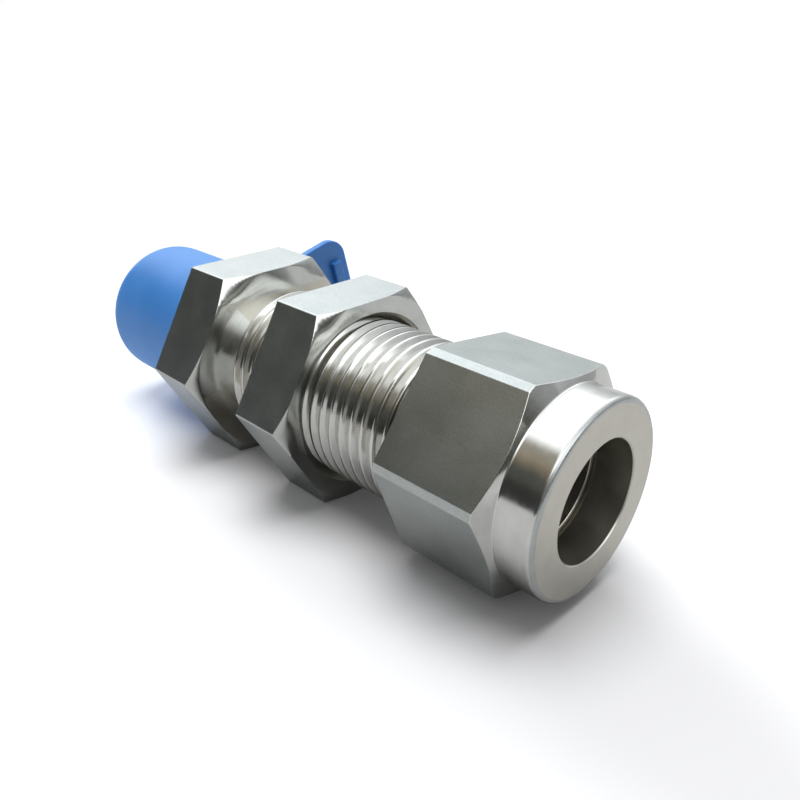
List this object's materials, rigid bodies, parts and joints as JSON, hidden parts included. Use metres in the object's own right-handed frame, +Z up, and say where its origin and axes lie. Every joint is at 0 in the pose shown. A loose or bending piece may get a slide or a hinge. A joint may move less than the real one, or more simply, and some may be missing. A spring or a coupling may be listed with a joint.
{
  "type": "bulkhead compression tube fitting",
  "caption": "Bulkhead tube fitting: compression tube end with nut and ferrules, threaded shank with jam nut, body hexagon, and taper pipe thread under a soft pull-tab cap.",
  "frame": {"origin": "on the fitting's axis, in the plane of the body hexagon's face that seats on the panel", "axes": "+X along the axis towards the tube nut, where the tube enters; +Z up, square to the hexagon flats that the part lies on"},
  "size_m": [0.0763, 0.0345, 0.0238],
  "materials": {
    "body_steel": "turned and milled stainless steel",
    "jam_nut_steel": "turned and milled stainless steel",
    "tube_nut_steel": "turned and milled stainless steel",
    "ferrule_steel": "fine turned stainless steel",
    "cap_plastic": "soft moulded polyethylene"
  },
  "bodies": {
    "fitting": {"fitting_body": "body_steel"},
    "jam_nut": {"jam_nut": "jam_nut_steel"},
    "ferrule_set": {"front_ferrule": "ferrule_steel", "back_ferrule": "ferrule_steel"},
    "tube_nut": {"tube_nut": "tube_nut_steel"},
    "cap": {"thread_cap": "cap_plastic"}
  },
  "joints": [
    {"name": "ferrule_slide", "type": "slide", "parent": "fitting", "child": "ferrule_set", "axis": [1, 0, 0], "range_m": [0, 0.007]},
    {"name": "nut_turn", "type": "hinge", "parent": "ferrule_set", "child": "tube_nut", "pos_m": [0.039, 0, 0], "axis": [1, 0, 0], "range_deg": [0, 1584]},
    {"name": "jam_nut_travel", "type": "slide", "parent": "fitting", "child": "jam_nut", "axis": [1, 0, 0], "range_m": [-0.0094, 0.0132]},
    {"name": "cap_pull", "type": "slide", "parent": "fitting", "child": "cap", "axis": [-1, 0, 0], "range_m": [0, 0.02]}
  ],
  "couplings": [
    {"joint": "ferrule_slide", "follows": "nut_turn", "m_per_rad": 0.00025266}
  ]
}
